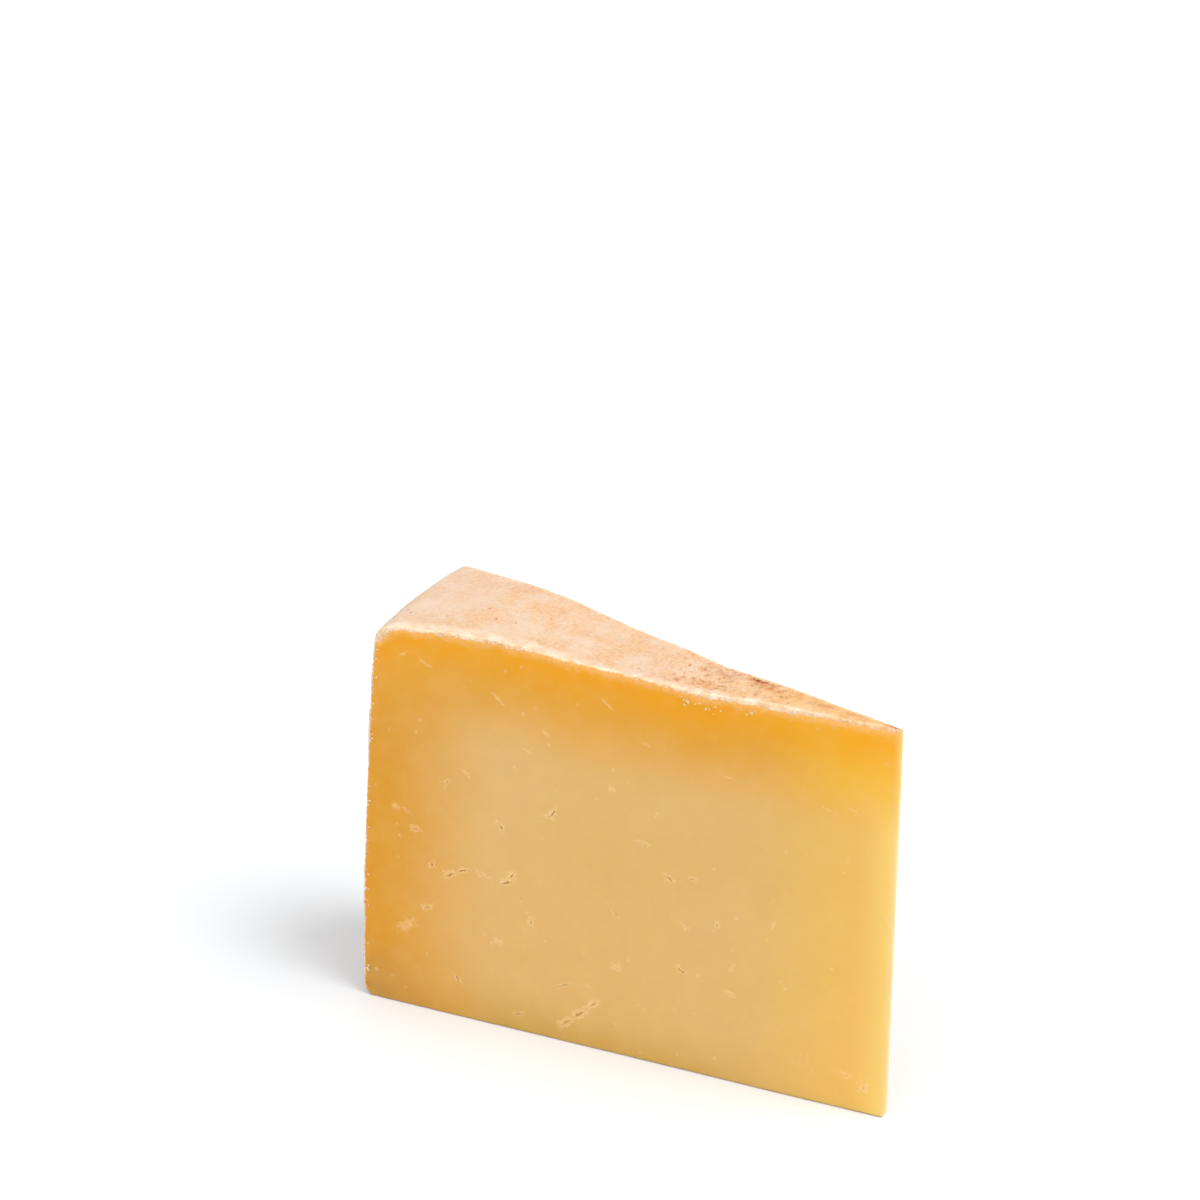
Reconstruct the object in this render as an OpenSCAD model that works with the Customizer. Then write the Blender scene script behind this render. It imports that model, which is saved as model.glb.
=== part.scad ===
// Wedge of natural-rind cheddar, cut from a small wheel.
// The wheel stands on its flat base. Two straight cuts meet close to its
// centre, so the wedge has a thin upright tip at +X and the rim at -X.
// The origin is at the middle of the wedge's bounding box, on the base.

/* [Wheel] */
// Widest radius of the wheel, where the rim meets the rounded base edge
rim_radius = 130.5; // [90:0.5:190]
// How far the rim leans inwards between the base edge and the top edge
rim_lean = 5.3; // [0:0.1:12]
// How late the lean sets in: 1 is a straight cone, 3 bulges most
rim_bulge = 1.6; // [1:0.1:3]
// Height of the top rind at the wheel's centre
wheel_height = 100; // [60:0.5:140]
// Radius of the rounded edge between the rim and the top rind
top_edge = 5.6; // [1:0.1:9]
// Radius of the rounded edge between the rim and the base
base_edge = 3; // [1:0.1:8]

/* [Top rind] */
// Rise of the ring-shaped swelling on the top rind
swell_rise = 1.7; // [0:0.1:4]
// Distance of the swelling's highest line from the wheel's centre
swell_radius = 97; // [60:1:110]
// Width of the swelling
swell_width = 17; // [8:1:30]
// Depth of the ring-shaped dip on the top rind
dip_depth = 0.8; // [0:0.1:3]
// Distance of the dip's lowest line from the wheel's centre
dip_radius = 48; // [20:1:60]
// Width of the dip
dip_width = 10; // [5:1:20]

/* [Cuts] */
// Angle between the two cut faces
wedge_angle = 15.5; // [8:0.5:60]
// Radius of the blunt tip where the two cuts meet
tip_radius = 0.35; // [0.2:0.05:3]

/* [Hidden] */

half_angle = wedge_angle / 2;
// The blunt tip stands this far from the wheel's centre
tip_distance = tip_radius / sin(half_angle) - tip_radius;
centre_shift = (rim_radius + tip_distance) / 2;
// The cutting prism stands proud of the wheel by this much on every side
cut_margin = 5;
// Height where the rim ends and the top edge's rounding begins
shoulder_height = top_height(rim_radius - rim_lean - top_edge) - top_edge;

edge_steps = 8;
rim_steps = 14;
top_steps = 48;
tip_steps = 8;

// A smooth ring-shaped wave, 1 at its centre line and 0 far from it
function wave(radius, centre, width) = exp(-pow((radius - centre) / width, 2));

// Height of the top rind at a distance from the wheel's centre
function top_height(radius) =
    wheel_height
    + swell_rise * wave(radius, swell_radius, swell_width)
    - dip_depth * wave(radius, dip_radius, dip_width);

// Radius of the rim at a share of its height, 0 at the base edge and 1 at the shoulder
function rim_at(share) = rim_radius - rim_lean * pow(share, rim_bulge);

// Points of a quarter circle from one angle to another
function arc(centre, radius, from, to, steps) = [
    for (i = [0:steps])
        let (angle = from + (to - from) * i / steps)
        centre + radius * [cos(angle), sin(angle)]
];

base_arc = arc([rim_radius - base_edge, base_edge], base_edge, -90, 0, edge_steps);

rim_line = [
    for (i = [1:rim_steps])
        [rim_at(i / rim_steps), base_edge + (shoulder_height - base_edge) * i / rim_steps]
];

top_arc = arc([rim_at(1) - top_edge, shoulder_height], top_edge, 0, 90, edge_steps);

top_line = [
    for (i = [1:top_steps])
        let (radius = (rim_at(1) - top_edge) * (1 - i / top_steps))
        [radius, top_height(radius)]
];

// The wheel's outline from its axis along the base, up the rim and back over the top
wheel_profile = concat(
    [[0, 0]],
    base_arc,
    rim_line,
    [for (i = [1:edge_steps]) top_arc[i]],
    top_line
);

// The wedge seen from above: a blunt tip and two straight sides that pass the rim
function cut_outline(reach) = concat(
    arc([-tip_radius / sin(half_angle), 0], tip_radius, half_angle - 90, 90 - half_angle, tip_steps),
    [
        [-reach * cos(half_angle), reach * sin(half_angle)],
        [-reach * cos(half_angle), -reach * sin(half_angle)]
    ]
);

// The whole wheel, but only as far round as the cuts reach
module wheel_segment() {
    rotate([0, 0, 180 - wedge_angle])
        rotate_extrude(angle = 2 * wedge_angle, $fn = 180)
            polygon(wheel_profile);
}

module cutting_prism() {
    translate([0, 0, -cut_margin])
        linear_extrude(wheel_height + swell_rise + 2 * cut_margin)
            polygon(cut_outline(rim_radius / cos(half_angle) + cut_margin));
}

module cheddar_wedge() {
    color([0.89, 0.66, 0.32])
        translate([centre_shift, 0, 0])
            intersection() {
                wheel_segment();
                cutting_prism();
            }
}

cheddar_wedge();
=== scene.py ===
"""The looks of a wedge of natural-rind cheddar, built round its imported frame.

The wedge is one closed mesh over the frame's own outline. A box's faces are laid over it, their
triangles are halved until each spot is as fine as its detail needs, and then edges, rind and tears are
worked in. Sizes in the mesh code are in millimetres, and Blender's are in metres.
"""

import itertools
import math

import bmesh
import bpy
import numpy as np
from mathutils import Matrix, Vector
from mathutils.bvhtree import BVHTree


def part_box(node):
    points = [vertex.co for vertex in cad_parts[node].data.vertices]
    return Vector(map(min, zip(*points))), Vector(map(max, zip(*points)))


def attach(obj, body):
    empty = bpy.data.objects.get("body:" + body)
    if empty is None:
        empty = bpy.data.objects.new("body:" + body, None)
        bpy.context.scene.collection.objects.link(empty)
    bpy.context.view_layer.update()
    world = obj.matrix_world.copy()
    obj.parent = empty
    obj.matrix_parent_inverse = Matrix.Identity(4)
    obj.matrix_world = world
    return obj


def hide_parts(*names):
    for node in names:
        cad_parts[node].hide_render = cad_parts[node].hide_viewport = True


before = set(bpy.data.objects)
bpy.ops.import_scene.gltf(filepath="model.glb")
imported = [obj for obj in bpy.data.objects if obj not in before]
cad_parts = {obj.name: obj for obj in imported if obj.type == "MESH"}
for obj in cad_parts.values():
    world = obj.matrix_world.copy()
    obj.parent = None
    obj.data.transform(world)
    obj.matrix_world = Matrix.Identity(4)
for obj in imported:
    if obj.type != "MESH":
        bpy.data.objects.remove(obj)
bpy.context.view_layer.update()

MM = 0.001
NODE = "cheddar_wedge"

# The frame's sizes. The two cuts meet at the wheel's centre, just past the blunt tip.
LOW, HIGH = (np.array(corner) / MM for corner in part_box(NODE))
LENGTH, WIDTH, HEIGHT = HIGH - LOW
TIP_RADIUS = 0.35
ANGLE_PASSES = 20
half_angle = math.atan(WIDTH / 2 / LENGTH)
for _ in range(ANGLE_PASSES):
    tip_start = TIP_RADIUS / math.sin(half_angle) - TIP_RADIUS
    half_angle = math.asin(WIDTH / 2 / (LENGTH + tip_start))
HALF_ANGLE = half_angle
WHEEL_X = HIGH[0] + tip_start

# The mesh: how many cells the box has to start with, and how long a triangle's longest side may be in
# each place. Where the cuts differ, -1 is the front cut and 1 is the back one.
BOX_CELLS = (34, 3, 26)
CUT_SIDE = 2.0
TOP_SIDE = 0.6
RIM_SIDE = 1.2
BASE_SIDE = 2.5
# Near the wedge's edges, and how far that goes
EDGE_SIDE = 0.55
EDGE_REACH = 0.8
# On the cuts under the rind, and how far that goes
BAND_SIDE = {-1: 0.3, 1: 0.5}
BAND_REACH = 2.3
# Round tears and scuffs, how much longer it gets with a tear's width, and how far that goes as a share
# of their size. Tears shallower than SHALLOW_TEAR need no finer mesh than their scuff.
TEAR_SIDE = {-1: 0.2, 1: 0.4}
TEAR_SIDE_GROWTH = 0.03
TEAR_SPAN = 1.4
SCUFF_SIDE = {-1: 0.42, 1: 0.7}
SCUFF_SPAN = 1.2
SHALLOW_TEAR = 0.15
# Halving stops after this many passes at the latest
MOST_PASSES = 40
# Closer to the wheel's centre than this, triangles are judged as if they were here, so that none turns
# to a sliver
JUDGED_RADIUS = 7
# How near to 0 or 1 a share has to be to lie on the box's face
ON_FACE = 1e-9

# How round the edges of the cut faces are, and the tip's lower corner as seen from the side
CUT_ROUND = 0.45
CORNER_ROUND = 2.4
# Along the top of the front cut: distance from the wheel's centre, how deep the pale rind shows on the
# cut, and how far its bloom spreads over the top. The back cut has the same rind and a narrower bloom.
RIND_EDGE = [
    (0, 0.8, 0.1),
    (10, 1.0, 0.3),
    (20, 1.1, 0.5),
    (30, 1.3, 0.6),
    (38, 1.1, 0.8),
    (44, 1.0, 1.0),
    (50, 0.8, 1.0),
    (60, 0.7, 1.2),
    (70, 0.4, 1.6),
    (80, 0.4, 2.2),
    (86, 0.6, 2.6),
    (92, 0.9, 3.0),
    (98, 0.9, 3.4),
    (104, 0.9, 3.0),
    (112, 0.8, 2.8),
    (118, 0.7, 2.0),
    (122, 1.8, 1.0),
    (125, 3.4, 0.5),
    (126, 4.0, 0.5),
]
BAND_RADII, BAND_DEPTHS, BLOOM_WIDTHS = zip(*RIND_EDGE)
BACK_BLOOM = 0.1
RIM_BAND_DEPTH = 0.45

# Layers of relief, each with how high its bumps stand, how wide they are, and its seed
RIND_BUMPS = [(0.22, 15, 31), (0.10, 5, 32), (0.045, 1.9, 33), (0.03, 0.9, 34)]
CRUMBLY_BUMPS = [(0.16, 2.6, 35), (0.09, 1.1, 36)]
CUT_BUMPS = [(0.10, 28, 41), (0.035, 9, 42)]
BAND_BUMPS = [(0.15, 1.1, 43), (0.10, 0.55, 44)]
BASE_BUMPS = [(0.05, 4, 45)]
SCUFF_BUMPS = [(0.09, 0.45, 15), (0.05, 0.9, 16)]
# The same for how tears bend, and for how ragged their edges are as a share of their size
TEAR_BENDS = [(0.42, 1.5, 11), (0.168, 0.6, 12)]
TEAR_EDGES = [(0.50, 0.6, 13), (0.35, 0.28, 14)]
# How far outside its size a tear can still show, and how far its scuff sits above it as a share of the
# scuff's width
TEAR_MARGIN = 1.5
SCUFF_RISE = 0.3
# How deep the chips out of the rind's edges and the pits in the top rind go
CHIP_DEPTH = 0.35
PIT_DEPTH = 0.3
# The rind crumbles between these distances from the wheel's centre
CRUMBLY_ZONE = (62, 40)
# Relief fades out over this length at the tip, which is too thin for it
CALM_TIP = 6

# The tears that show on the front cut, listed one by one: distance from the wheel's centre, height, length,
# width, lean in degrees from level, depth, and how wide the pale scuff round it is
FRONT_TEARS = [
    (79.5, 5.2, 5.4, 0.80, 38, 0.25, 1.0),
    (76.0, 8.5, 5.2, 1.00, 42, 0.40, 1.0),
    (72.6, 12.0, 4.2, 0.80, 42, 0.30, 1.0),
    (91.3, 4.4, 2.8, 0.41, 25, 0.58, 0.4),
    (51.9, 27.2, 1.7, 0.48, -35, 0.64, 0.7),
    (50.7, 26.8, 1.7, 0.41, 30, 0.58, 0.6),
    (106.2, 10.1, 2.2, 0.41, -55, 0.51, 0.6),
    (82.2, 60.6, 1.9, 0.48, 65, 0.61, 0.8),
    (83.2, 59.4, 1.9, 0.41, -20, 0.38, 0.7),
    (95.0, 54.1, 2.3, 0.54, -60, 0.44, 0.7),
    (107.6, 38.4, 3.6, 0.54, 22, 0.38, 1.1),
    (104.6, 39.9, 2.6, 0.41, 24, 0.61, 0.7),
    (99.9, 40.2, 3.4, 0.34, -15, 0.29, 0.7),
    (93.7, 39.6, 4.0, 0.48, 25, 0.51, 1.0),
    (92.6, 41.6, 2.0, 0.41, 50, 0.44, 1.0),
    (90.4, 36.6, 2.2, 0.34, -55, 0.38, 0.4),
    (112.3, 39.8, 1.9, 0.41, 65, 0.48, 0.7),
    (54.5, 50.4, 2.3, 0.41, -14, 0.48, 0.7),
    (49.1, 51.7, 1.9, 0.34, -8, 0.44, 0.6),
    (50.7, 38.6, 2.4, 0.27, -10, 0.26, 0.6),
    (43.2, 40.7, 1.9, 0.34, 82, 0.29, 0.7),
    (67.7, 38.6, 5.0, 0.34, -50, 0.32, 0.4),
    (87.8, 30.4, 2.1, 0.48, 70, 0.51, 0.8),
    (113.6, 27.8, 2.0, 0.41, 10, 0.38, 0.9),
    (57.3, 66.1, 1.2, 0.34, 50, 0.38, 0.4),
    (60.9, 57.9, 3.6, 0.34, -10, 0.22, 0.6),
    (121.0, 53.0, 0.9, 0.48, 0, 0.16, 0.8),
    (118.2, 52.8, 3.0, 0.34, -35, 0.22, 0.4),
    (116.3, 48.5, 2.0, 0.41, 0, 0.26, 0.7),
    (7.8, 6.8, 2.2, 1.00, 60, 0.22, 0.8),
    (11.7, 9.1, 1.7, 0.41, 0, 0.26, 0.7),
    (108.0, 62.6, 1.8, 0.34, 60, 0.35, 0.6),
    (79.6, 15.5, 4.4, 0.34, 22, 0.35, 0.4),
    (73.2, 17.3, 1.4, 0.34, 45, 0.38, 0.4),
    (67.0, 23.4, 2.4, 0.48, 25, 0.20, 1.1),
    (39.6, 23.3, 2.2, 0.27, -10, 0.22, 0.6),
    (96.0, 22.8, 1.6, 0.41, 10, 0.20, 1.0),
    (39.2, 30.6, 1.2, 0.41, 70, 0.22, 0.7),
]
# Long shallow scuffs, with the same columns
FRONT_SCUFFS = [
    (69.1, 91.2, 4.6, 0.4, -35, 0.06, 0.3),
    (95.2, 86.9, 4.0, 0.5, -42, 0.06, 0.4),
    (112.5, 92.2, 3.4, 0.5, -30, 0.10, 0.4),
    (119.0, 21.5, 3.4, 1.2, 50, 0.04, 1.2),
    (84.0, 81.0, 2.6, 0.4, -35, 0.10, 0.3),
    (18.5, 77.0, 3.0, 0.3, -15, 0.10, 0.2),
    (12.5, 77.8, 3.4, 0.3, -20, 0.10, 0.2),
    (68.0, 70.0, 1.4, 0.8, 0, 0.08, 0.6),
    (127.0, 90.5, 4.6, 0.4, -35, 0.12, 0.3),
    (126.6, 93.0, 3.0, 0.3, -30, 0.10, 0.2),
    (118.0, 93.5, 1.8, 0.5, 30, 0.10, 0.3),
    (41.0, 79.5, 3.0, 0.3, -8, 0.10, 0.2),
    (60.0, 83.0, 2.2, 0.3, -10, 0.08, 0.2),
    (88.0, 75.0, 3.2, 0.3, -25, 0.06, 0.3),
    (103.0, 66.0, 2.4, 0.4, -40, 0.08, 0.3),
    (30.0, 44.0, 2.0, 0.3, 70, 0.06, 0.3),
]
# The back cut has this many small tears in random places, and two large ones
BACK_TEARS = 34
LARGE_BACK_TEARS = [
    (70.0, 30.0, 6.5, 1.6, -40, 1.2, 1.1),
    (66.5, 27.0, 3.6, 1.0, -35, 0.8, 1.0),
]
SEED = 507

# Crumbs of rind on each cut: how many cling along the top's edge and down the rim's, and round which
# distances from the wheel's centre those along the top gather
EDGE_CRUMBS = 90
RIM_CRUMBS = 30
CRUMBLY_RADII = [30, 42, 52, 90, 98, 106]
# Crumbs along the top's edge cling at least this far below it on each cut
LEAST_CRUMB_DEPTH = {-1: 0.35, 1: 0.7}
# Clusters of crumbs below the top's edge: distance from the wheel's centre, depth, spread and count
CRUMB_CLUSTERS = [
    (44, 2.2, 3.0, 9),
    (51, 2.0, 2.0, 7),
    (36, 1.8, 2.0, 5),
    (123, 1.5, 1.4, 10),
    (18, 1.6, 3.0, 5),
]
# Crumbs down the rim's edge: the share of the wedge's height, and how far in from the rim
RIM_CRUMB_LEVELS = (0.06, 0.94)
RIM_CRUMB_DEPTHS = (0.5, 1.3)
# The radius of each kind of crumb, its other two radii as shares of that, and how knobbly it is
EDGE_CRUMB_SIZES = (0.22, 0.5)
CLUSTER_CRUMB_SIZES = (0.25, 0.55)
RIM_CRUMB_SIZES = (0.2, 0.4)
CRUMB_THICKNESS = (0.3, 0.55)
CRUMB_BREADTH = (0.3, 0.9)
CRUMB_KNOBS = 0.5
# How far a crumb is sunk in the cut, and how far it keeps from the tip and the rim
CRUMB_SINK = 0.08
CRUMB_TIP_GAP = 2
CRUMB_RIM_GAP = 0.4

# Stained places on the top rind: distance from the wheel's centre, share of the way from the middle to
# the back cut, length along the wedge, width, and strength
STAINS = [
    (38.0, 0.78, 7.0, 1.8, 1.0),
    (33.5, 0.45, 6.0, 1.6, 0.6),
    (47.0, 0.55, 6.0, 2.4, 0.45),
    (50.0, -0.55, 8.0, 2.0, 0.35),
    (23.0, 0.20, 5.0, 1.2, 0.5),
    (14.0, 0.30, 4.0, 1.0, 0.4),
    (4.0, 0.10, 2.6, 1.0, 1.0),
    (98.0, 0.80, 11.0, 2.0, 0.22),
]
# Small dark pits in the top rind, in the same terms, with their radius
RIND_PITS = [
    (120.6, -0.50, 0.34),
    (119.4, -0.56, 0.38),
    (80.3, 0.60, 0.26),
    (77.1, 0.52, 0.22),
    (71.6, 0.44, 0.28),
    (72.4, -0.12, 0.24),
    (73.5, -0.45, 0.28),
    (75.0, -0.78, 0.22),
    (104.0, 0.10, 0.20),
    (88.0, -0.20, 0.20),
]

# The camera: its angles in degrees, its lens, and where the wedge's origin lies as it sees it, in
# millimetres to the right, up and ahead
VIEW_AZIMUTH = 30.28
VIEW_PITCH = 28.49
ORIGIN_IN_VIEW = (8.2, -99.7, 872.3)
LENS = 114.0
SENSOR = 36.0

# The light: how bright the surroundings are, and for each sun the way to it, its width in degrees and
# its strength
WORLD_STRENGTH = 0.60
SUNS = {
    "key": ((1.2, 0.05, 2.0), 32, 1.8),
    "front": ((0.1, -1.0, 1.5), 70, 0.88),
}
# The floor's half width in metres, its colour, and a faint glow that keeps it pale in the shade
FLOOR_REACH = 4.0
FLOOR_COLOUR = (0.80, 0.82, 0.84, 1)
FLOOR_GLOW = 0.03

# Colours as they look on a screen, each part from 0 to 255
PALETTE = {
    "paste": (219, 176, 108),
    "light paste": (227, 186, 124),
    # Lighter and yellower paste towards the thin tip: painted glow of light shining through it
    "paste near tip with painted glow": (232, 188, 100),
    "paste at tip with painted glow": (243, 213, 120),
    "tip edge": (240, 212, 162),
    "tip edge under rind": (244, 200, 118),
    # Darker base: partly the paste's own duller colour, partly painted shade near the floor
    "dull base with painted shade": (196, 153, 62),
    # Darker low corner by the rim: painted shade near the floor over the base's duller colour
    "dull corner with painted shade": (182, 136, 72),
    "near rim": (218, 151, 38),
    "amber": (226, 161, 50),
    # Lighter amber and orange for the thin tip: painted glow of light shining through it
    "amber at tip with painted glow": (240, 188, 56),
    "orange": (236, 160, 0),
    "orange at tip with painted glow": (241, 170, 0),
    "dark cloud": (214, 152, 48),
    "light cloud": (246, 208, 122),
    "curd": (244, 206, 140),
    "dots": (248, 214, 168),
    "scuff": (252, 218, 164),
    # Painted shade deep in the tears
    "crease_shade": (200, 132, 28),
    "faded paste": (248, 206, 146),
    "base skin": (150, 92, 48),
    "peach": (212, 168, 128),
    "light peach": (226, 188, 152),
    "rosy": (214, 192, 180),
    "bloom": (224, 202, 182),
    "warm": (216, 154, 86),
    "light warm": (232, 192, 132),
    "crust": (224, 192, 158),
    "crack": (186, 118, 72),
    "speck": (176, 112, 74),
    "russet": (186, 98, 56),
    "deep stain": (122, 58, 38),
    "cream": (224, 192, 160),
    "light cream": (232, 213, 194),
    # Brighter copies of the cream for the cuts: painted light that makes up for the dimmer light there
    "cream painted lighter for the cut": (242, 206, 166),
    "light cream painted lighter for the cut": (252, 232, 210),
    "cream grain": (222, 182, 140),
    "rim cream": (210, 172, 146),
    "light rim cream": (240, 220, 208),
    "crumb": (236, 192, 140),
    "light crumb": (244, 216, 182),
}

# Where the paste and rind change colour. Each change is smooth between two distances.
# From the wheel's centre:
# Painted glow: the paste turns lighter and yellower towards the thin tip
GLOW_NEAR_TIP = (42, 12)
GLOW_AT_TIP = (12, 1)
TIP_EDGE = (4.4, 2.0)
# Painted glow: the amber and orange band turns lighter towards the thin tip
AMBER_GLOW_AT_TIP = (36, 8)
ORANGE_GLOW_AT_TIP = (45, 12)
WARM_RIND = (60, 26)
ROSY_RIND = (96, 126)
ROUGH_RIND_OUTER = (66, 52)
ROUGH_RIND_INNER = (18, 36)
# The darker base, partly painted shade near the floor, fades out towards the tip
DULL_SHADED_BASE_OUT = (8, 60)
# Under the top rind:
AMBER_UNDER_TOP = (31, 9)
ORANGE_UNDER_TOP = (14, 3)
TIP_EDGE_UNDER_TOP = (40, 8)
FADED_UNDER_BAND = (2.6, -0.3)
# Under the rim:
NEAR_RIM = (34, 2)
# The low corner by the rim is darker: painted shade near the floor over the base's duller colour
SHADED_CORNER_UNDER_RIM = (26, 0)
# Above the base:
# Darker towards the bottom: partly the paste's own duller colour, partly painted shade near the floor
DULL_SHADED_BASE = (15, -8)
# The same darker low corner, its painted shade fading upward from the base
SHADED_CORNER_ABOVE_BASE = (20, 0)
BASE_BAND = (0.5, 0.15)

# How rough each surface is, how strongly cheese and floor reflect, and how high the fine bumps of the
# paste and the rind stand
PASTE_ROUGHNESS = 0.42
TORN_ROUGHNESS = 0.6
RIND_ROUGHNESS = 0.85
CRUMB_ROUGHNESS = 0.8
FLOOR_ROUGHNESS = 0.9
REFLECTION = 0.1
CRUMB_REFLECTION = 0.2
PASTE_GRAIN = 0.035
RIND_GRAIN = 0.16
# How wide the bumps of Blender's noise are at a scale of 1
NOISE_BUMP = 0.6

# How light spreads inside the paste, for red, green and blue, and how far in millimetres
SCATTER_SHARE = 0.6
SCATTER_RADII = (1.0, 0.55, 0.22)
SCATTER_SCALE = 2.6


# ---------------------------------------------------------------- noise

def smooth_step(value, start, end):
    """0 before start, 1 after end and a smooth rise between. start may be the larger of the two."""
    share = np.clip((value - start) / (end - start), 0, 1)
    return share * share * (3 - 2 * share)


# Large odd numbers that scramble a cell's place and the seed into a random-looking value
AXIS_PRIMES = np.array([73856093, 19349663, 83492791], np.uint64)
SCRAMBLERS = np.array([2654435761, 2246822519], np.uint64)


def lattice_noise(points, size, seed):
    """Smooth noise from -1 to 1 over 3-D points, with bumps about size across."""
    grid = np.asarray(points, float) / size
    cell = np.floor(grid).astype(np.int64)
    share = grid - cell
    share = share * share * (3 - 2 * share)
    total = np.zeros(len(grid))
    for corner in itertools.product((0, 1), repeat=3):
        key = (cell + corner).astype(np.uint64)
        mixed = np.bitwise_xor.reduce(key * AXIS_PRIMES, axis=1)
        mixed = (mixed + np.uint64(seed)) * SCRAMBLERS[0]
        mixed = (mixed ^ (mixed >> np.uint64(15))) * SCRAMBLERS[1]
        mixed = (mixed ^ (mixed >> np.uint64(13))) & np.uint64(0xFFFFFF)
        weight = np.prod(np.where(corner, share, 1 - share), axis=1)
        total += weight * (mixed.astype(float) / 0x7FFFFF - 1)
    return total


def layered_noise(points, layers):
    """Several noises added up. A layer has its height, the size of its bumps and its seed."""
    return sum(height * lattice_noise(points, size, seed) for height, size, seed in layers)


# ---------------------------------------------------------------- the sharp wedge

def outline():
    """The frame's outline as radius and height, from the lower tip corner up and round.

    Rays look for it all round from the wedge's middle, a little beside the middle plane and its edges.
    """
    tree = BVHTree.FromObject(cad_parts[NODE], bpy.context.evaluated_depsgraph_get())
    beside_edges = 0.02
    ray_step = 0.25
    middle = Vector((0, beside_edges, HEIGHT / 2)) * MM
    points = []
    for turn in np.radians(np.arange(0, 360, ray_step)):
        hit = tree.ray_cast(middle, Vector((math.cos(turn), 0, math.sin(turn))))[0]
        points.append((WHEEL_X - hit.x / MM, hit.z / MM))
    points = np.array(points)
    first = (points @ (1, 1)).argmin()
    return np.roll(points, -first, axis=0)


def curve(points):
    """A function from a share of the way along the points to the place there."""
    steps = np.linalg.norm(np.diff(points, axis=0), axis=1)
    share = np.concatenate([[0], np.cumsum(steps)]) / steps.sum()
    return lambda s: np.stack([np.interp(s, share, line) for line in points.T], axis=-1)


LOOP = outline()
tip_top = (LOOP @ (-1, 1)).argmax()
rim_top = (LOOP @ (1, 1)).argmax()
rim_base = (LOOP @ (1, -1)).argmax()
CLOSED_LOOP = np.vstack([LOOP, LOOP[:1]])
tip_line = curve(CLOSED_LOOP[:tip_top + 1])
top_line = curve(CLOSED_LOOP[tip_top:rim_top + 1])
rim_line = curve(CLOSED_LOOP[rim_top:rim_base + 1][::-1])
base_line = curve(CLOSED_LOOP[rim_base:][::-1])


def section(u, v):
    """Radius and height at a share u of the way from tip to rim and v from base to top.

    The four lines of the outline are blended into a patch between them.
    """
    u, v = u[:, None], v[:, None]
    across = (1 - v) * base_line(u[:, 0]) + v * top_line(u[:, 0])
    upward = (1 - u) * tip_line(v[:, 0]) + u * rim_line(v[:, 0])
    corners = (1 - v) * ((1 - u) * base_line(0.0) + u * base_line(1.0)) + v * (
        (1 - u) * top_line(0.0) + u * top_line(1.0)
    )
    return across + upward - corners


def sharp_form(params):
    """Places on the wedge with sharp edges.

    A row of params is (u, side, v): u and v as in section, and side -1 at the front cut, 1 at the back.
    """
    radius, height = section(params[:, 0], params[:, 2]).T
    angle = params[:, 1] * HALF_ANGLE
    spots = np.stack([WHEEL_X - radius * np.cos(angle), radius * np.sin(angle), height], axis=1)
    return spots, radius, height, angle


def top_at(radius):
    """Height of the top rind at a radius."""
    line = CLOSED_LOOP[tip_top:rim_top + 1]
    return np.interp(radius, line[:, 0], line[:, 1])


def rim_at(height):
    """Radius of the rim at a height."""
    line = CLOSED_LOOP[rim_top:rim_base + 1][::-1]
    return np.interp(height, line[:, 1], line[:, 0])


def faces_of(params):
    """Which rows of params lie on the cuts, the top, the rim and the base. An edge belongs to its cut."""
    on_cut = np.abs(params[:, 1]) > 1 - ON_FACE
    on_top = (params[:, 2] > 1 - ON_FACE) & ~on_cut
    on_rim = (params[:, 0] > 1 - ON_FACE) & ~on_cut
    on_base = (params[:, 2] < ON_FACE) & ~on_cut
    return on_cut, on_top, on_rim, on_base


# ---------------------------------------------------------------- tears

def back_tears():
    """Tears for the cut that the front view hides, of the same kinds as the front's."""
    rng = np.random.default_rng(SEED)
    tears = []
    for _ in range(BACK_TEARS):
        radius = LENGTH * math.sqrt(rng.uniform(0.02, 0.92))
        height = HEIGHT * rng.uniform(0.05, 0.85)
        length = rng.uniform(1.2, 3.4)
        lean = rng.choice([-35, 20, 60]) + rng.uniform(-20, 20)
        width = rng.uniform(0.45, 0.9)
        depth = rng.uniform(0.3, 1.0)
        tears.append((radius, height, length, width, lean, depth, rng.uniform(0.5, 1.2)))
    return tears + LARGE_BACK_TEARS


CUT_TEARS = {-1: FRONT_TEARS + FRONT_SCUFFS, 1: back_tears()}


def tear_reach(tear, radius, height):
    """Distance from a tear's middle as a share of its size, and the same for its scuff."""
    centre, level, length, width, lean, _, scuff = tear
    turn = math.radians(lean)
    along = (centre - radius) * math.cos(turn) + (height - level) * math.sin(turn)
    across = -(centre - radius) * math.sin(turn) + (height - level) * math.cos(turn)
    core = np.hypot(along / (length / 2), across / (width / 2))
    halo = np.hypot(along / (length / 2 + scuff), across / (width / 2 + scuff))
    return core, halo


def tear_fields(side, spots, radius, height):
    """Depth and paleness of the tears on one cut face."""
    depth_field = np.zeros(len(radius))
    scuff_field = np.zeros(len(radius))
    bend = layered_noise(spots, TEAR_BENDS)
    ragged = 1 + layered_noise(spots, TEAR_EDGES)
    for tear in CUT_TEARS[side]:
        centre, level, length, _, lean, depth, scuff = tear
        near = np.hypot(radius - centre, height - level) < length / 2 + scuff + TEAR_MARGIN
        if not near.any():
            continue
        turn = math.radians(lean)
        shift = bend[near]
        bent = radius[near] + shift * math.sin(turn)
        core = tear_reach(tear, bent, height[near] - shift * math.cos(turn))[0] * ragged[near]
        halo = tear_reach(tear, bent, height[near] - shift - SCUFF_RISE * scuff)[1] * ragged[near]
        depth_field[near] = np.maximum(depth_field[near], depth * smooth_step(core, 1.0, 0.25))
        scuff_field[near] = np.maximum(scuff_field[near], smooth_step(halo, 1.1, 0.2))
    return depth_field, scuff_field


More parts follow.
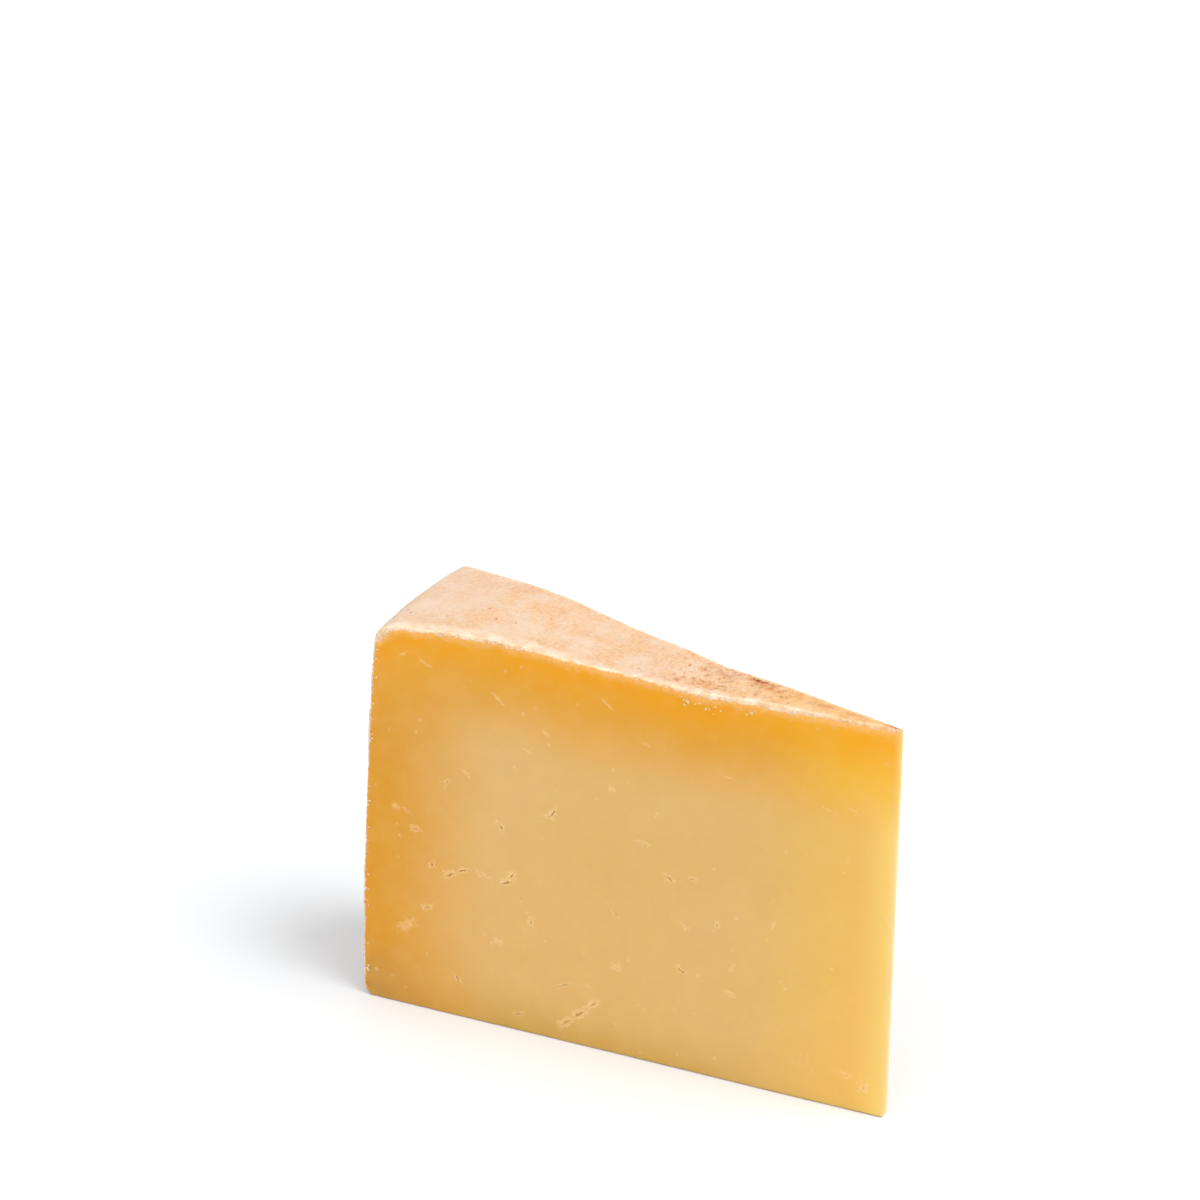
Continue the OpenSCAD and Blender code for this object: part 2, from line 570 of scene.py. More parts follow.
# ---------------------------------------------------------------- the mesh

def box_shell(cells):
    """A box's faces cut into cells: params of the corners, and triangles that face outwards once placed."""
    corners, triangles = {}, []
    for axis in range(3):
        one, two = (axis + 1) % 3, (axis + 2) % 3
        for end, i, j in itertools.product((0, 1), range(cells[one]), range(cells[two])):
            quad = []
            for step in ((0, 0), (1, 0), (1, 1), (0, 1)):
                place = [0, 0, 0]
                place[axis] = end * cells[axis]
                place[one] = i + step[0]
                place[two] = j + step[1]
                quad.append(corners.setdefault(tuple(place), len(corners)))
            if end:
                quad.reverse()
            triangles += [quad[:3], [quad[0], quad[2], quad[3]]]
    params = np.array(list(corners), float) / cells
    params[:, 1] = params[:, 1] * 2 - 1
    return params, np.array(triangles)


def wanted_side(params):
    """How long a triangle's longest side may be, at each triangle's middle."""
    _, radius, height, _ = sharp_form(params)
    share = params[:, 1]
    on_cut, on_top, _, on_base = faces_of(params)
    wanted = np.full(len(params), RIM_SIDE)
    wanted[on_top] = TOP_SIDE
    wanted[on_base] = BASE_SIDE
    wanted[on_cut] = CUT_SIDE
    from_cut = radius * np.sin(HALF_ANGLE * (1 - np.abs(share)))
    from_rind = np.minimum(top_at(radius) - height, rim_at(height) - radius)
    near_edge = ~on_cut & (from_cut < EDGE_REACH)
    near_edge |= on_cut & (np.minimum(height, radius - tip_start) < EDGE_REACH)
    wanted[near_edge] = np.minimum(wanted[near_edge], EDGE_SIDE)
    for side, tears in CUT_TEARS.items():
        on_side = on_cut & (share * side > 0)
        side_radius, side_height = radius[on_side], height[on_side]
        finest = np.where(from_rind[on_side] < BAND_REACH, BAND_SIDE[side], wanted[on_side])
        for tear in tears:
            core, halo = tear_reach(tear, side_radius, side_height)
            finest = np.where(halo < SCUFF_SPAN, np.minimum(finest, SCUFF_SIDE[side]), finest)
            _, _, _, width, _, depth, _ = tear
            if depth > SHALLOW_TEAR:
                tear_side = TEAR_SIDE[side] + TEAR_SIDE_GROWTH * width
                finest = np.where(core < TEAR_SPAN, np.minimum(finest, tear_side), finest)
        wanted[on_side] = finest
    return wanted


def halve(params, triangles, longest, too_long):
    """Halves the longest side of each triangle marked too_long, and of the neighbours that this touches."""
    ends = np.sort(np.stack([triangles, np.roll(triangles, -1, axis=1)], axis=2), axis=2)
    keys, index = np.unique(ends[..., 0] * len(params) + ends[..., 1], return_inverse=True)
    index = index.reshape(-1, 3)
    own_longest = index[np.arange(len(triangles)), longest]
    marked = np.zeros(len(keys), bool)
    marked[own_longest[too_long]] = True
    while True:
        missed = marked[index].any(axis=1) & ~marked[own_longest]
        if not missed.any():
            break
        marked[own_longest[missed]] = True
    number = np.full(len(keys), -1)
    number[marked] = len(params) + np.arange(marked.sum())
    middle = (params[keys[marked] // len(params)] + params[keys[marked] % len(params)]) / 2

    # Each triangle is turned so that its longest side runs from a to b. ab, bc and ca are the new corners
    # in the middles of its sides, and -1 where a side stays whole.
    order = (longest[:, None] + np.arange(3)) % 3
    a, b, c = np.take_along_axis(triangles, order, 1).T
    ab, bc, ca = number[np.take_along_axis(index, order, 1)].T
    whole, split = ab < 0, ab >= 0
    kept_b, cut_b = split & (bc < 0), split & (bc >= 0)
    kept_a, cut_a = split & (ca < 0), split & (ca >= 0)
    pieces = [
        (a, b, c, whole),
        (a, ab, c, kept_a), (a, ab, ca, cut_a), (ca, ab, c, cut_a),
        (ab, b, c, kept_b), (ab, b, bc, cut_b), (ab, bc, c, cut_b),
    ]
    made = [np.stack([x[chosen], y[chosen], z[chosen]], axis=1) for x, y, z, chosen in pieces]
    return np.vstack([params, middle]), np.vstack(made)


def refined_shell():
    """The box's faces, with every triangle as small as its place wants."""
    params, triangles = box_shell(BOX_CELLS)
    for _ in range(MOST_PASSES):
        spots, radius, _, angle = sharp_form(params)
        spots[:, 1] = np.maximum(radius, JUDGED_RADIUS) * np.sin(angle)
        corner = spots[triangles]
        sides = np.linalg.norm(np.roll(corner, -1, axis=1) - corner, axis=2)
        too_long = sides.max(axis=1) > wanted_side(params[triangles].mean(axis=1))
        if not too_long.any():
            break
        params, triangles = halve(params, triangles, sides.argmax(axis=1), too_long)
    return params, triangles


def nearest_on_loop(radius, height):
    """Distance to the outline and the outward direction there, both in the radius-height plane."""
    best = np.full(len(radius), np.inf)
    outward = np.zeros((len(radius), 2))
    for start, end in zip(CLOSED_LOOP[:-1], CLOSED_LOOP[1:]):
        step = end - start
        share = ((radius - start[0]) * step[0] + (height - start[1]) * step[1]) / (step @ step)
        share = np.clip(share, 0, 1)
        gap = np.hypot(radius - start[0] - share * step[0], height - start[1] - share * step[1])
        closer = gap < best
        best[closer] = gap[closer]
        outward[closer] = np.array([-step[1], step[0]]) / np.linalg.norm(step)
    return best, outward


def rounded(params, spots, radius, height, angle):
    """Rounds the wedge's edges. Gives the new places, the ways outwards and the distances from a cut."""
    far_away = 99.0
    edge_zone = 3
    rind_gap = np.full(len(params), far_away)
    outward = np.zeros((len(params), 2))
    gaps = [top_at(radius) - height, rim_at(height) - radius, height, radius - tip_start]
    near = np.minimum.reduce(gaps) < edge_zone
    rind_gap[near], outward[near] = nearest_on_loop(radius[near], height[near])
    cuts = {side: radius * np.sin(HALF_ANGLE * (1 - side * params[:, 1])) for side in (-1, 1)}

    # Near the tip the rounding shrinks to what fits between the cuts
    room = 0.96 * radius * math.sin(HALF_ANGLE)
    soft = CUT_ROUND * (1 + 0.35 * lattice_noise(spots, 6, 21))
    soft = np.minimum(soft, room)[:, None]
    pull = np.maximum(0, soft - rind_gap[:, None]) * np.stack(
        [-outward[:, 0] * np.cos(angle), outward[:, 0] * np.sin(angle), outward[:, 1]], axis=1
    )
    for side, gap in cuts.items():
        normal = np.array([math.sin(HALF_ANGLE), side * math.cos(HALF_ANGLE), 0])
        pull += np.maximum(0, soft - gap[:, None]) * normal
    direction = pull / np.maximum(np.linalg.norm(pull, axis=1, keepdims=True), 1e-9)
    from_cut = np.minimum(cuts[-1], cuts[1])
    return spots - pull + soft * direction, direction, from_cut


def rind_relief(spots, from_cut, radius):
    """How far the outer rind stands out or in."""
    relief = layered_noise(spots, RIND_BUMPS)
    relief += smooth_step(radius, *CRUMBLY_ZONE) * layered_noise(spots, CRUMBLY_BUMPS)
    chips = smooth_step(lattice_noise(spots, 1.6, 37), 0.1, 0.8) * smooth_step(from_cut, 1.6, 0.2)
    return relief - CHIP_DEPTH * chips


def cut_relief(spots, rind_depth, band):
    """How far a cut face stands out or in, apart from its tears."""
    in_rind = smooth_step(rind_depth, band + 0.3, band - 0.2)
    flaky = 0.4 + 0.6 * smooth_step(lattice_noise(spots, 9, 46), -0.1, 0.5)
    crumbs = flaky * layered_noise(spots, BAND_BUMPS)
    return layered_noise(spots, CUT_BUMPS) + in_rind * (crumbs - 0.08)


def blunt_corner(places):
    """Rounds the tip's lower corner, by squeezing the square place it fills into a quarter of a disc."""
    reach = places[:, :2] - (WHEEL_X, 0)
    radius = np.linalg.norm(reach, axis=1)
    to_tip = np.clip(1 - (radius - tip_start) / CORNER_ROUND, 0, 1)
    to_base = np.clip(1 - places[:, 2] / CORNER_ROUND, 0, 1)
    inward = CORNER_ROUND * to_tip * (1 - np.sqrt(1 - to_base ** 2 / 2))
    upward = CORNER_ROUND * to_base * (1 - np.sqrt(1 - to_tip ** 2 / 2))
    level = (WHEEL_X, 0) + reach * (1 + inward / radius)[:, None]
    return np.column_stack([level, places[:, 2] + upward])


def stain_field(radius, share):
    """How stained the top rind is, from the listed stains."""
    field = np.zeros(len(radius))
    for centre, middle, length, width, strength in STAINS:
        across = (share - middle) * centre * HALF_ANGLE
        reach = np.hypot((radius - centre) / length, across / width)
        field = np.maximum(field, strength * smooth_step(reach, 1.25, 0.2))
    return field


def rind_pit_field(radius, share):
    """Depth of the small dark pits in the top rind."""
    field = np.zeros(len(radius))
    for centre, middle, size in RIND_PITS:
        across = (share - middle) * centre * HALF_ANGLE
        reach = np.hypot(radius - centre, across) / size
        field = np.maximum(field, smooth_step(reach, 1.3, 0.3))
    return field


def wedge_mesh():
    """The finished wedge's mesh, with the attributes that its material reads."""
    params, triangles = refined_shell()
    spots, radius, height, angle = sharp_form(params)
    places, direction, from_cut = rounded(params, spots, radius, height, angle)
    share = params[:, 1]
    on_cut, on_top, on_rim, on_base = faces_of(params)
    under_top = np.maximum(0, top_at(radius) - height)
    under_rim = np.maximum(0, rim_at(height) - radius)
    rind_depth = np.minimum(under_top, under_rim)

    offset = np.zeros(len(params))
    outer = on_top | on_rim
    offset[outer] = rind_relief(spots[outer], from_cut[outer], radius[outer])
    offset[on_base] = layered_noise(spots[on_base], BASE_BUMPS) - 0.05
    band = np.interp(radius, BAND_RADII, BAND_DEPTHS) * (1 + 0.3 * lattice_noise(spots, 4, 51))
    bloom = np.interp(radius, BAND_RADII, BLOOM_WIDTHS) * np.where(share < 0, 1, BACK_BLOOM)
    offset[on_cut] = cut_relief(spots[on_cut], rind_depth[on_cut], band[on_cut])
    tear, scuff = np.zeros(len(params)), np.zeros(len(params))
    for side in CUT_TEARS:
        chosen = on_cut & (share * side > 0)
        tear[chosen], scuff[chosen] = tear_fields(side, spots[chosen], radius[chosen], height[chosen])
    pits = np.zeros(len(params))
    pits[on_top] = rind_pit_field(radius[on_top], share[on_top])
    offset += scuff * layered_noise(spots, SCUFF_BUMPS) - tear - PIT_DEPTH * pits
    calm = smooth_step(radius, tip_start, tip_start + CALM_TIP)
    places = places + direction * (offset * calm)[:, None]
    places[:, 2] = np.maximum(places[:, 2], 0)
    places = blunt_corner(places)

    stain = np.zeros(len(params))
    stain[outer] = stain_field(radius[outer], share[outer])
    mesh = bpy.data.meshes.new("cheddar")
    mesh.from_pydata((places * MM).tolist(), [], triangles.tolist())
    fields = {
        "under_top": under_top, "under_rim": under_rim, "from_cut": np.where(on_cut, 0, from_cut),
        "tear": tear, "scuff": scuff, "stain": np.maximum(stain, pits), "band": band, "bloom": bloom,
    }
    for name, values in fields.items():
        mesh.attributes.new(name, "FLOAT", "POINT").data.foreach_set("value", values.astype(np.float32))
    mesh.shade_smooth()
    mesh.update()
    return mesh


# ---------------------------------------------------------------- crumbs

def crumb_places(rng):
    """Where rind crumbs cling: side, distance from the wheel's centre, depth under the top and size."""
    places = []
    for side in (-1, 1):
        for _ in range(EDGE_CRUMBS):
            radius = rng.choice(CRUMBLY_RADII) + rng.normal(0, 7)
            band = np.interp(radius, BAND_RADII, BAND_DEPTHS)
            depth = max(band * rng.uniform(0.3, 1.3), LEAST_CRUMB_DEPTH[side])
            places.append((side, radius, depth, rng.uniform(*EDGE_CRUMB_SIZES)))
        for centre, depth, spread, count in CRUMB_CLUSTERS:
            for _ in range(count):
                low = depth + abs(rng.normal(0, spread / 2))
                radius = centre + rng.normal(0, spread)
                places.append((side, radius, low, rng.uniform(*CLUSTER_CRUMB_SIZES)))
        for _ in range(RIM_CRUMBS):
            level = HEIGHT * rng.uniform(*RIM_CRUMB_LEVELS)
            radius = float(rim_at(level)) - rng.uniform(*RIM_CRUMB_DEPTHS)
            depth = float(top_at(radius)) - level
            places.append((side, radius, depth, rng.uniform(*RIM_CRUMB_SIZES)))
    return places


def crumbs_mesh():
    """Small knobbly flakes, each a bent and squashed ball half sunk in a cut face."""
    ball = bmesh.new()
    bmesh.ops.create_icosphere(ball, subdivisions=2, radius=1)
    unit = np.array([corner.co for corner in ball.verts])
    faces = np.array([[corner.index for corner in face.verts] for face in ball.faces])
    ball.free()
    rng = np.random.default_rng(SEED + 1)
    corners, triangles = [], []
    for side, radius, depth, size in crumb_places(rng):
        furthest = rim_at(top_at(radius) - depth) - CRUMB_RIM_GAP
        if not tip_start + CRUMB_TIP_GAP < radius < furthest:
            continue
        turn = rng.uniform(0, math.pi)
        somewhere = rng.uniform(0, 900, 3)
        knobs = lattice_noise(unit * 1.3 + somewhere, 1, 61)
        knobbly = unit * (1 + CRUMB_KNOBS * knobs)[:, None]
        thickness = rng.uniform(*CRUMB_THICKNESS)
        flake = knobbly * (size, size * thickness, size * rng.uniform(*CRUMB_BREADTH))
        along = flake[:, 0] * math.cos(turn) - flake[:, 2] * math.sin(turn)
        upward = flake[:, 0] * math.sin(turn) + flake[:, 2] * math.cos(turn)
        angle = side * HALF_ANGLE
        level = top_at(radius) - depth + upward
        reach = radius + along
        outward = flake[:, 1] - CRUMB_SINK
        placed = np.stack([
            WHEEL_X - reach * math.cos(angle) + outward * math.sin(HALF_ANGLE),
            reach * math.sin(angle) + side * outward * math.cos(HALF_ANGLE),
            level,
        ], axis=1)
        triangles.append((faces if side < 0 else faces[:, ::-1]) + len(corners) * len(unit))
        corners.append(placed)
    mesh = bpy.data.meshes.new("crumbs")
    mesh.from_pydata((np.vstack(corners) * MM).tolist(), [], np.vstack(triangles).tolist())
    mesh.shade_smooth()
    return mesh


# ---------------------------------------------------------------- materials

def colour(name):
    """The linear colour for a name in the palette."""
    parts = [value / 255 for value in PALETTE[name]]
    return [v / 12.92 if v <= 0.04045 else ((v + 0.055) / 1.055) ** 2.4 for v in parts] + [1]


class Shader:
    """A material's nodes, made one call at a time. Sizes and distances are in millimetres."""

    def __init__(self, name):
        self.material = bpy.data.materials.new(name)
        self.material.use_nodes = True
        self.tree = self.material.node_tree
        self.tree.nodes.clear()
        output = self.tree.nodes.new("ShaderNodeOutputMaterial")
        self.surface = self.tree.nodes.new("ShaderNodeBsdfPrincipled")
        self.tree.links.new(self.surface.outputs[0], output.inputs["Surface"])
        coordinates = self.tree.nodes.new("ShaderNodeTexCoord").outputs["Object"]
        self.place = self.vector("MULTIPLY", coordinates, (1 / MM, 1 / MM, 1 / MM))

    def feed(self, socket, value):
        """Gives an input what it reads: another node's output, a palette name, a number or a vector."""
        if isinstance(value, bpy.types.NodeSocket):
            self.tree.links.new(value, socket)
        else:
            socket.default_value = colour(value) if isinstance(value, str) else value

    def vector(self, operation, first, second):
        node = self.tree.nodes.new("ShaderNodeVectorMath")
        node.operation = operation
        self.feed(node.inputs[0], first)
        self.feed(node.inputs[1], second)
        return node.outputs["Value" if operation == "DISTANCE" else "Vector"]

    def maths(self, operation, *values):
        node = self.tree.nodes.new("ShaderNodeMath")
        node.operation = operation
        for socket, value in zip(node.inputs, values):
            self.feed(socket, value)
        return node.outputs[0]

    def times(self, first, second):
        return self.maths("MULTIPLY", first, second)

    def field(self, name):
        """One of the mesh's own fields."""
        node = self.tree.nodes.new("ShaderNodeAttribute")
        node.attribute_name = name
        return node.outputs["Fac"]

    def noise(self, size, detail=2.0, roughness=0.5, distortion=0.0):
        """Noise from 0 to 1 with bumps about size across."""
        node = self.tree.nodes.new("ShaderNodeTexNoise")
        self.feed(node.inputs["Vector"], self.place)
        node.inputs["Scale"].default_value = NOISE_BUMP / size
        node.inputs["Detail"].default_value = detail
        node.inputs["Roughness"].default_value = roughness
        node.inputs["Distortion"].default_value = distortion
        return node.outputs["Fac"]

    def cells(self, size):
        """Distance to the nearest of a scatter of points about size apart, as a share of size."""
        node = self.tree.nodes.new("ShaderNodeTexVoronoi")
        self.feed(node.inputs["Vector"], self.place)
        node.inputs["Scale"].default_value = 1 / size
        return node.outputs["Distance"]

    def rise(self, value, start, end):
        """0 before start, 1 after end and a smooth rise between. start may be the larger of the two."""
        node = self.tree.nodes.new("ShaderNodeMapRange")
        node.interpolation_type = "SMOOTHSTEP"
        self.feed(node.inputs["Value"], value)
        low, high = (0, 1) if start < end else (1, 0)
        node.inputs["From Min"].default_value = min(start, end)
        node.inputs["From Max"].default_value = max(start, end)
        node.inputs["To Min"].default_value = low
        node.inputs["To Max"].default_value = high
        return node.outputs["Result"]

    def mix(self, share, first, second):
        """A colour between two colours."""
        node = self.tree.nodes.new("ShaderNodeMix")
        node.data_type = "RGBA"
        self.feed(node.inputs["Factor"], share)
        self.feed(node.inputs[6], first)
        self.feed(node.inputs[7], second)
        return node.outputs[2]

    def blend(self, share, first, second):
        """A number between two numbers."""
        node = self.tree.nodes.new("ShaderNodeMix")
        self.feed(node.inputs[0], share)
        self.feed(node.inputs[2], first)
        self.feed(node.inputs[3], second)
        return node.outputs[0]

    def bump(self, height, distance, previous=None):
        """Relief of height 0 to 1 that stands distance high."""
        node = self.tree.nodes.new("ShaderNodeBump")
        node.inputs["Distance"].default_value = distance * MM
        self.feed(node.inputs["Height"], height)
        if previous is not None:
            self.feed(node.inputs["Normal"], previous)
        return node.outputs["Normal"]


def paste_colour(shader, from_centre, height):
    """The cut paste: tan in the middle, orange under the rind, darker at the bottom, partly its own duller
    colour and partly painted shade near the floor, with more of both in the low corner by the rim, and
    lighter yellow towards the tip, a painted glow of light shining through the thin tip.
    """
    wander = shader.maths("MULTIPLY_ADD", shader.noise(16), 8.0, -4.0)
    under_top = shader.maths("ADD", shader.field("under_top"), wander)
    under_rim = shader.maths("ADD", shader.field("under_rim"), wander)

    middle = shader.mix(shader.noise(22), "paste", "light paste")
    # Lighter and yellower towards the thin tip: painted glow of light shining through it
    glow_near_tip = shader.mix(shader.rise(from_centre, *GLOW_NEAR_TIP), middle, "paste near tip with painted glow")
    glow_at_tip = shader.mix(shader.rise(from_centre, *GLOW_AT_TIP), glow_near_tip, "paste at tip with painted glow")
    # Darker towards the bottom and the rim: partly the paste's own duller colour, partly painted shade near
    # the floor
    low = shader.times(shader.rise(height, *DULL_SHADED_BASE), shader.rise(from_centre, *DULL_SHADED_BASE_OUT))
    dull = shader.mix(low, glow_at_tip, "dull base with painted shade")
    rim_zone = shader.mix(shader.rise(under_rim, *NEAR_RIM), dull, "near rim")
    # The amber and orange also turn lighter at the thin tip: painted glow
    amber = shader.mix(shader.rise(from_centre, *AMBER_GLOW_AT_TIP), "amber", "amber at tip with painted glow")
    halfway = shader.mix(shader.rise(under_top, *AMBER_UNDER_TOP), rim_zone, amber)
    orange = shader.mix(shader.rise(from_centre, *ORANGE_GLOW_AT_TIP), "orange", "orange at tip with painted glow")
    banded = shader.mix(shader.rise(under_top, *ORANGE_UNDER_TOP), halfway, orange)
    tip_edge = shader.rise(under_top, *TIP_EDGE_UNDER_TOP)
    tip_edge = shader.mix(tip_edge, "tip edge", "tip edge under rind")
    edged = shader.mix(shader.rise(from_centre, *TIP_EDGE), banded, tip_edge)

    # The low corner by the rim is darker still: painted shade near the floor over the base's duller colour
    corner = shader.rise(under_rim, *SHADED_CORNER_UNDER_RIM)
    corner = shader.times(shader.rise(height, *SHADED_CORNER_ABOVE_BASE), corner)
    shaded = shader.mix(shader.times(corner, 0.8), edged, "dull corner with painted shade")

    cloud = shader.mix(shader.noise(7, 3, 0.6), "dark cloud", "light cloud")
    clouded = shader.mix(0.13, shaded, cloud)
    curd = shader.rise(shader.noise(3.2, 3, 0.6), 0.35, 0.7)
    mottled = shader.mix(shader.times(curd, 0.08), clouded, "curd")
    uneven = shader.maths("MULTIPLY_ADD", shader.noise(0.7), 0.25, shader.cells(3.6))
    dots = shader.times(shader.rise(uneven, 0.30, 0.14), shader.rise(shader.noise(3.0, 1), 0.46, 0.62))
    return shader.mix(shader.times(dots, 0.4), mottled, "dots")


def rind_colour(shader, from_centre):
    """The outer rind: peach under a patchy white bloom, orange and cracked brown towards the tip."""
    patch = shader.rise(shader.noise(5, 5, 0.62), 0.40, 0.64)
    grain = shader.rise(shader.noise(0.55, 3, 0.7), 0.3, 0.7)
    peach = shader.mix(grain, "peach", "light peach")
    rosy = shader.mix(shader.times(shader.rise(from_centre, *ROSY_RIND), 0.4), peach, "rosy")
    bloomed = shader.mix(shader.times(patch, 0.6), rosy, "bloom")
    warm = shader.mix(shader.rise(shader.noise(2.4, 3, 0.6), 0.3, 0.7), "warm", "light warm")
    base = shader.mix(shader.times(shader.rise(from_centre, *WARM_RIND), 0.8), bloomed, warm)

    rough = shader.rise(from_centre, *ROUGH_RIND_INNER)
    rough = shader.times(shader.rise(from_centre, *ROUGH_RIND_OUTER), rough)
    crust = shader.times(shader.rise(shader.noise(2.6, 4, 0.65), 0.40, 0.60), rough)
    crumbly = shader.mix(shader.times(crust, 0.5), base, "crust")
    cracks = shader.times(shader.rise(shader.noise(0.9, 4, 0.75), 0.50, 0.36), rough)
    crumbly = shader.mix(shader.times(cracks, 0.75), crumbly, "crack")

    specks = shader.rise(shader.cells(3.4), 0.13, 0.05)
    rare = shader.rise(shader.noise(4.0, 1), 0.52, 0.6)
    specked = shader.mix(shader.times(specks, rare), crumbly, "speck")
    broken = shader.rise(shader.noise(1.1, 4, 0.75, distortion=0.6), 0.40, 0.60)
    stain = shader.field("stain")
    russet = shader.mix(shader.times(stain, broken), specked, "russet")
    deep = shader.rise(shader.times(stain, shader.noise(0.7, 3, 0.7)), 0.44, 0.66)
    return shader.mix(deep, russet, "deep stain")


def torn_paste(shader, paste, fine):
    """The paste with its scuffs, which are paler, and painted shade deep in its tears. Also gives how torn
    each place is.
    """
    torn = shader.rise(shader.field("scuff"), 0.0, 0.8)
    torn = shader.times(torn, shader.blend(0.5, fine, 1.0))
    paste = shader.mix(shader.times(torn, 0.42), paste, "scuff")
    # Painted shade deep in the tears, broken up by noise
    crease_shade = shader.rise(shader.field("tear"), 0.12, 0.45)
    crease_shade = shader.times(crease_shade, shader.rise(shader.noise(0.5), 0.3, 0.55))
    return shader.mix(shader.times(crease_shade, 0.65), paste, "crease_shade"), torn


def edge_cream(shader, from_cut, fine):
    """The pale broken rind along the top's edge, painted brighter on the cuts to make up for the dimmer
    light there.
    """
    cloudy = shader.rise(shader.noise(2.2, 4, 0.7), 0.38, 0.62)
    cream = shader.mix(cloudy, "cream", "light cream")
    # Brighter cream on the cuts: painted light that makes up for the dimmer light falling on them
    cream_painted_lighter_on_cut = shader.mix(cloudy, "cream painted lighter for the cut", "light cream painted lighter for the cut")
    cream = shader.mix(shader.rise(from_cut, 0.5, 0.0), cream, cream_painted_lighter_on_cut)
    return shader.mix(shader.times(fine, 0.25), cream, "cream grain")


def cheese_material():
    """Paste, rind and everything between them, told apart by the mesh's own fields."""
    shader = Shader("cheddar_surface")
    apart = shader.tree.nodes.new("ShaderNodeSeparateXYZ")
    shader.feed(apart.inputs[0], shader.place)
    height = apart.outputs["Z"]
    level = shader.vector("MULTIPLY", shader.place, (1, 1, 0))
    from_centre = shader.vector("DISTANCE", level, (WHEEL_X, 0, 0))
    from_cut = shader.field("from_cut")
    under_top = shader.field("under_top")
    band = shader.field("band")
    fine = shader.rise(shader.noise(0.42, 3, 0.65), 0.36, 0.62)
    uneven = shader.maths("SUBTRACT", shader.noise(1.2, 4, 0.7), 0.5)

    # How far the rind shows on the cuts, with a ragged limit
    ragged = shader.maths("MULTIPLY_ADD", uneven, 2.3, band)
    top_band = shader.rise(shader.maths("SUBTRACT", under_top, ragged), 0.15, -0.10)
    ragged = shader.maths("MULTIPLY_ADD", uneven, 1.4, RIM_BAND_DEPTH)
    rim_band = shader.rise(shader.maths("SUBTRACT", shader.field("under_rim"), ragged), 0.12, -0.12)
    base_band = shader.rise(height, *BASE_BAND)

    # The paste fades right under the band
    paste, torn = torn_paste(shader, paste_colour(shader, from_centre, height), fine)
    below = shader.maths("SUBTRACT", under_top, band)
    below = shader.maths("MULTIPLY_ADD", uneven, 4.0, below)
    fading = shader.times(shader.rise(below, *FADED_UNDER_BAND), shader.blend(fine, 0.35, 0.6))
    paste = shader.mix(fading, paste, "faded paste")

    # The bloom spreads from the cuts over the outer rind, as far as its own ragged limit
    outer = rind_colour(shader, from_centre)
    wavy = shader.maths("SUBTRACT", shader.noise(1.6, 4, 0.7), 0.5)
    margin = shader.maths("MULTIPLY_ADD", wavy, 5.0, shader.field("bloom"))
    outside = shader.rise(shader.maths("SUBTRACT", from_cut, margin), -1.0, 1.0)
    top_skin = shader.mix(outside, edge_cream(shader, from_cut, fine), outer)
    rim_skin = shader.mix(fine, "rim cream", "light rim cream")
    rim_skin = shader.mix(shader.rise(from_cut, 0.1, 0.8), rim_skin, outer)

    surface = shader.mix(base_band, paste, shader.mix(0.5, outer, "base skin"))
    surface = shader.mix(rim_band, surface, rim_skin)
    surface = shader.mix(top_band, surface, top_skin)
    shader.feed(shader.surface.inputs["Base Color"], surface)

    rind = shader.maths("MAXIMUM", top_band, rim_band)
    roughness = shader.blend(torn, PASTE_ROUGHNESS, TORN_ROUGHNESS)
    roughness = shader.blend(rind, roughness, RIND_ROUGHNESS)
    shader.feed(shader.surface.inputs["Roughness"], roughness)
    shader.surface.inputs["Specular IOR Level"].default_value = REFLECTION
    shader.surface.inputs["Subsurface Radius"].default_value = SCATTER_RADII
    shader.surface.inputs["Subsurface Scale"].default_value = SCATTER_SCALE * MM
    shader.surface.inputs["Subsurface Weight"].default_value = SCATTER_SHARE

    waxy = shader.bump(shader.noise(0.9, 3, 0.6), PASTE_GRAIN)
    grainy = shader.bump(shader.times(shader.noise(0.45, 3, 0.7), rind), RIND_GRAIN, waxy)
    shader.feed(shader.surface.inputs["Normal"], grainy)
    return shader.material


def crumb_material():
    """Pale dry rind with a little of the orange paste on it."""
    shader = Shader("rind_crumb_surface")
    flecked = shader.rise(shader.noise(0.5), 0.35, 0.65)
    shader.feed(shader.surface.inputs["Base Color"], shader.mix(flecked, "crumb", "light crumb"))
    shader.surface.inputs["Roughness"].default_value = CRUMB_ROUGHNESS
    shader.surface.inputs["Specular IOR Level"].default_value = CRUMB_REFLECTION
    return shader.material


def floor_material():
    shader = Shader("studio_floor")
    shader.surface.inputs["Base Color"].default_value = FLOOR_COLOUR
    shader.surface.inputs["Emission Color"].default_value = (1, 1, 1, 1)
    shader.surface.inputs["Emission Strength"].default_value = FLOOR_GLOW
    shader.surface.inputs["Roughness"].default_value = FLOOR_ROUGHNESS
    shader.surface.inputs["Specular IOR Level"].default_value = REFLECTION
    return shader.material


# ---------------------------------------------------------------- the scene

def show(name, mesh, material):
    """An object for the mesh, in the scene."""
    piece = bpy.data.objects.new(name, mesh)
    bpy.context.scene.collection.objects.link(piece)
    mesh.materials.append(material)
    return piece


